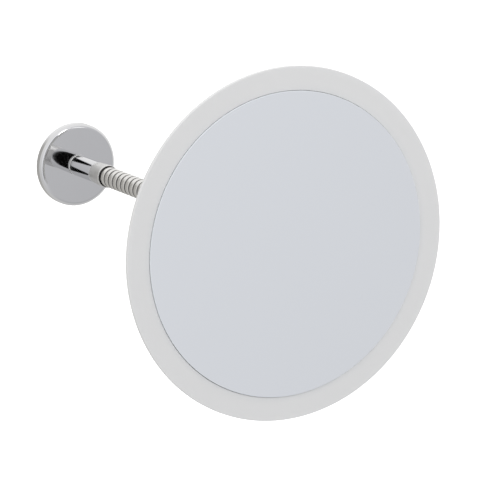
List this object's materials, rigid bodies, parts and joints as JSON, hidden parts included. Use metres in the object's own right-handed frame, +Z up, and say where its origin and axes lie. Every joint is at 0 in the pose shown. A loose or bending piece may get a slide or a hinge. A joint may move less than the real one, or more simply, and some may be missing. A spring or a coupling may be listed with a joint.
{
  "type": "gooseneck shaving mirror",
  "caption": "Round shaving mirror with a frosted rim on a flexible gooseneck arm from a round chrome wall plate.",
  "frame": {"origin": "centre of the wall bracket's flat back face, which lies against the wall", "axes": "+Z up, +Y into the wall, the arm runs along -Y and the mirror faces -Y, +X to the right as seen from in front"},
  "size_m": [0.23, 0.3051, 0.23],
  "materials": {
    "chrome": "polished chrome plate",
    "satin_metal": "satin chrome plate",
    "gooseneck_metal": "satin chrome plated steel winding",
    "zinc": "bare cast zinc",
    "steel": "zinc plated steel",
    "nylon": "natural nylon",
    "foam_tape": "white double-sided tape",
    "frosted_acrylic": "satin frosted translucent acrylic",
    "mirror": "silvered float glass"
  },
  "bodies": {
    "wall_base": {"plate_cover": "chrome", "wall_bracket": "zinc", "cover_grub_screw": "steel", "post_nut": "steel", "lock_washer": "steel", "seat_washer": "nylon", "arm_post": "chrome", "base_ferrule": "satin_metal", "base_ferrule_screw": "steel", "gooseneck_01": "gooseneck_metal"},
    "neck_01": {"gooseneck_02": "gooseneck_metal"},
    "neck_02": {"gooseneck_03": "gooseneck_metal"},
    "neck_03": {"gooseneck_04": "gooseneck_metal"},
    "neck_04": {"gooseneck_05": "gooseneck_metal"},
    "neck_05": {"gooseneck_06": "gooseneck_metal"},
    "neck_06": {"gooseneck_07": "gooseneck_metal"},
    "neck_07": {"gooseneck_08": "gooseneck_metal"},
    "neck_08": {"gooseneck_09": "gooseneck_metal"},
    "neck_09": {"gooseneck_10": "gooseneck_metal"},
    "neck_10": {"gooseneck_11": "gooseneck_metal"},
    "neck_11": {"gooseneck_12": "gooseneck_metal"},
    "neck_12": {"gooseneck_13": "gooseneck_metal"},
    "neck_13": {"gooseneck_14": "gooseneck_metal"},
    "neck_14": {"gooseneck_15": "gooseneck_metal"},
    "neck_15": {"gooseneck_16": "gooseneck_metal"},
    "mirror_head": {"gooseneck_17": "gooseneck_metal", "head_ferrule": "satin_metal", "head_ferrule_screw": "steel", "hub": "chrome", "hub_screw": "steel", "back_plate": "chrome", "back_pad": "foam_tape", "frosted_disc": "frosted_acrylic", "mirror_adhesive": "foam_tape", "mirror_glass": "mirror"}
  },
  "joints": [
    {"name": "base_bend_side", "type": "hinge", "parent": "wall_base", "child": "neck_01", "pos_m": [0, -0.0673, 0], "axis": [0, 0, 1], "range_deg": [-12, 12]},
    {"name": "base_bend_up", "type": "hinge", "parent": "neck_01", "child": "neck_02", "pos_m": [0, -0.0797, 0], "axis": [-1, 0, 0], "range_deg": [-12, 12]},
    {"name": "base_bend_side_2", "type": "hinge", "parent": "neck_02", "child": "neck_03", "pos_m": [0, -0.0921, 0], "axis": [0, 0, 1], "range_deg": [-12, 12]},
    {"name": "base_bend_up_2", "type": "hinge", "parent": "neck_03", "child": "neck_04", "pos_m": [0, -0.1045, 0], "axis": [-1, 0, 0], "range_deg": [-12, 12]},
    {"name": "base_bend_side_3", "type": "hinge", "parent": "neck_04", "child": "neck_05", "pos_m": [0, -0.1169, 0], "axis": [0, 0, 1], "range_deg": [-12, 12]},
    {"name": "base_bend_up_3", "type": "hinge", "parent": "neck_05", "child": "neck_06", "pos_m": [0, -0.1293, 0], "axis": [-1, 0, 0], "range_deg": [-12, 12]},
    {"name": "base_bend_side_4", "type": "hinge", "parent": "neck_06", "child": "neck_07", "pos_m": [0, -0.1417, 0], "axis": [0, 0, 1], "range_deg": [-12, 12]},
    {"name": "base_bend_up_4", "type": "hinge", "parent": "neck_07", "child": "neck_08", "pos_m": [0, -0.1541, 0], "axis": [-1, 0, 0], "range_deg": [-12, 12]},
    {"name": "tip_bend_side", "type": "hinge", "parent": "neck_08", "child": "neck_09", "pos_m": [0, -0.1665, 0], "axis": [0, 0, 1], "range_deg": [-12, 12]},
    {"name": "tip_bend_up", "type": "hinge", "parent": "neck_09", "child": "neck_10", "pos_m": [0, -0.1789, 0], "axis": [-1, 0, 0], "range_deg": [-12, 12]},
    {"name": "tip_bend_side_2", "type": "hinge", "parent": "neck_10", "child": "neck_11", "pos_m": [0, -0.1913, 0], "axis": [0, 0, 1], "range_deg": [-12, 12]},
    {"name": "tip_bend_up_2", "type": "hinge", "parent": "neck_11", "child": "neck_12", "pos_m": [0, -0.2037, 0], "axis": [-1, 0, 0], "range_deg": [-12, 12]},
    {"name": "tip_bend_side_3", "type": "hinge", "parent": "neck_12", "child": "neck_13", "pos_m": [0, -0.2161, 0], "axis": [0, 0, 1], "range_deg": [-12, 12]},
    {"name": "tip_bend_up_3", "type": "hinge", "parent": "neck_13", "child": "neck_14", "pos_m": [0, -0.2285, 0], "axis": [-1, 0, 0], "range_deg": [-12, 12]},
    {"name": "tip_bend_side_4", "type": "hinge", "parent": "neck_14", "child": "neck_15", "pos_m": [0, -0.2409, 0], "axis": [0, 0, 1], "range_deg": [-12, 12]},
    {"name": "tip_bend_up_4", "type": "hinge", "parent": "neck_15", "child": "mirror_head", "pos_m": [0, -0.2533, 0], "axis": [-1, 0, 0], "range_deg": [-12, 12]}
  ],
  "couplings": [
    {"joint": "base_bend_side_2", "follows": "base_bend_side", "ratio": 1},
    {"joint": "base_bend_up_2", "follows": "base_bend_up", "ratio": 1},
    {"joint": "base_bend_side_3", "follows": "base_bend_side", "ratio": 1},
    {"joint": "base_bend_up_3", "follows": "base_bend_up", "ratio": 1},
    {"joint": "base_bend_side_4", "follows": "base_bend_side", "ratio": 1},
    {"joint": "base_bend_up_4", "follows": "base_bend_up", "ratio": 1},
    {"joint": "tip_bend_side_2", "follows": "tip_bend_side", "ratio": 1},
    {"joint": "tip_bend_up_2", "follows": "tip_bend_up", "ratio": 1},
    {"joint": "tip_bend_side_3", "follows": "tip_bend_side", "ratio": 1},
    {"joint": "tip_bend_up_3", "follows": "tip_bend_up", "ratio": 1},
    {"joint": "tip_bend_side_4", "follows": "tip_bend_side", "ratio": 1},
    {"joint": "tip_bend_up_4", "follows": "tip_bend_up", "ratio": 1}
  ]
}
